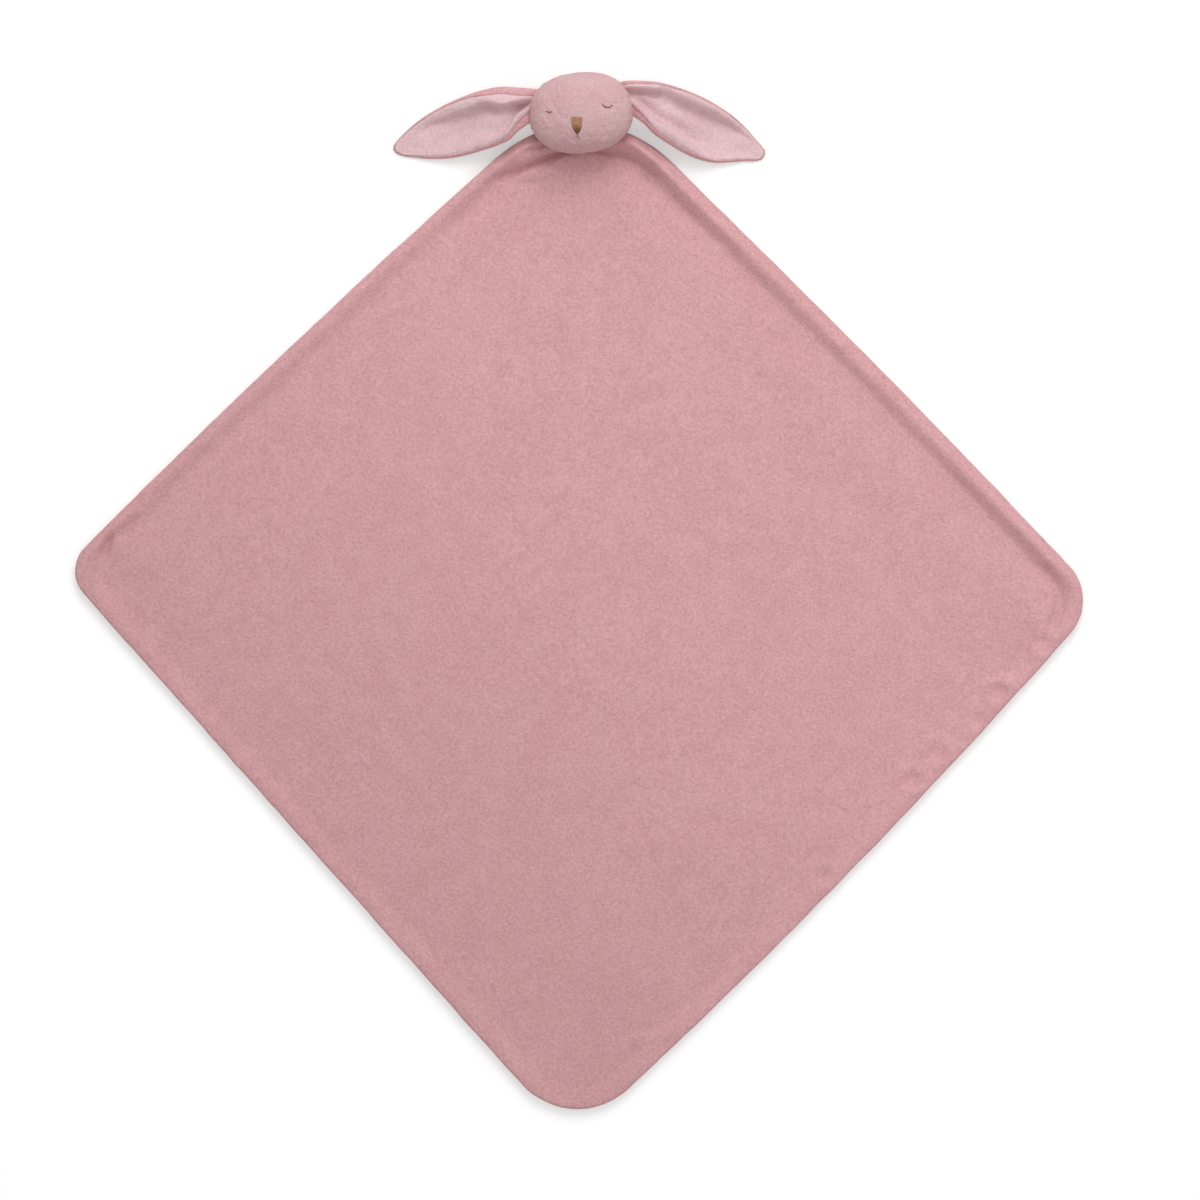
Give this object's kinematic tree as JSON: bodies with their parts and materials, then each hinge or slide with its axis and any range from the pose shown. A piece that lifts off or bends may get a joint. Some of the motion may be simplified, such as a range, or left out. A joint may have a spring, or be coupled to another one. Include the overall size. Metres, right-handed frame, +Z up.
{
  "type": "comfort blanket lovey",
  "caption": "Square double-layer plush comfort blanket lying flat, with a small stuffed rabbit head and two long floppy ears sewn to one corner.",
  "frame": {"origin": "middle of the whole object in plan, on the surface that it lies on", "axes": "+X to the right and +Y towards the crown of the head as the face is looked at from above; +Z up out of the face"},
  "size_m": [0.9572, 0.9837, 0.0656],
  "materials": {
    "blanket_plush": "short-pile dusty rose plush, soft and matt",
    "ear_lining": "short-pile pale rose plush, soft and matt",
    "head_plush": "curly short-pile rose plush, soft and matt",
    "fibre_fill": "loose polyester fibre filling",
    "sewing_thread": "matt polyester sewing thread",
    "embroidery_floss": "caramel brown satin-stitched floss"
  },
  "bodies": {
    "blanket": {"blanket_front_panel": "blanket_plush", "blanket_back_panel": "blanket_plush", "blanket_edge_thread": "sewing_thread"},
    "head": {"head_face_panel": "head_plush", "head_back_panel": "head_plush", "head_stuffing": "fibre_fill", "head_seam_thread": "sewing_thread", "neck_thread": "sewing_thread", "nose_embroidery": "embroidery_floss", "mouth_stitch": "embroidery_floss", "left_eye_stitch": "embroidery_floss", "right_eye_stitch": "embroidery_floss"},
    "left_ear": {"left_ear_inner_panel": "ear_lining", "left_ear_outer_panel": "blanket_plush", "left_ear_thread": "sewing_thread"},
    "right_ear": {"right_ear_inner_panel": "ear_lining", "right_ear_outer_panel": "blanket_plush", "right_ear_thread": "sewing_thread"}
  },
  "joints": [
    {"name": "head_nod", "type": "hinge", "parent": "blanket", "child": "head", "pos_m": [0, 0.4354, 0.00445], "axis": [1, 0, 0], "range_deg": [-90, 20]},
    {"name": "left_ear_flop", "type": "hinge", "parent": "head", "child": "left_ear", "pos_m": [-0.04934, 0.4596, 0.031], "axis": [0, 1, 0], "range_deg": [-30, 90]},
    {"name": "right_ear_flop", "type": "hinge", "parent": "head", "child": "right_ear", "pos_m": [0.05314, 0.464, 0.031], "axis": [0, -1, 0], "range_deg": [-30, 90]}
  ]
}
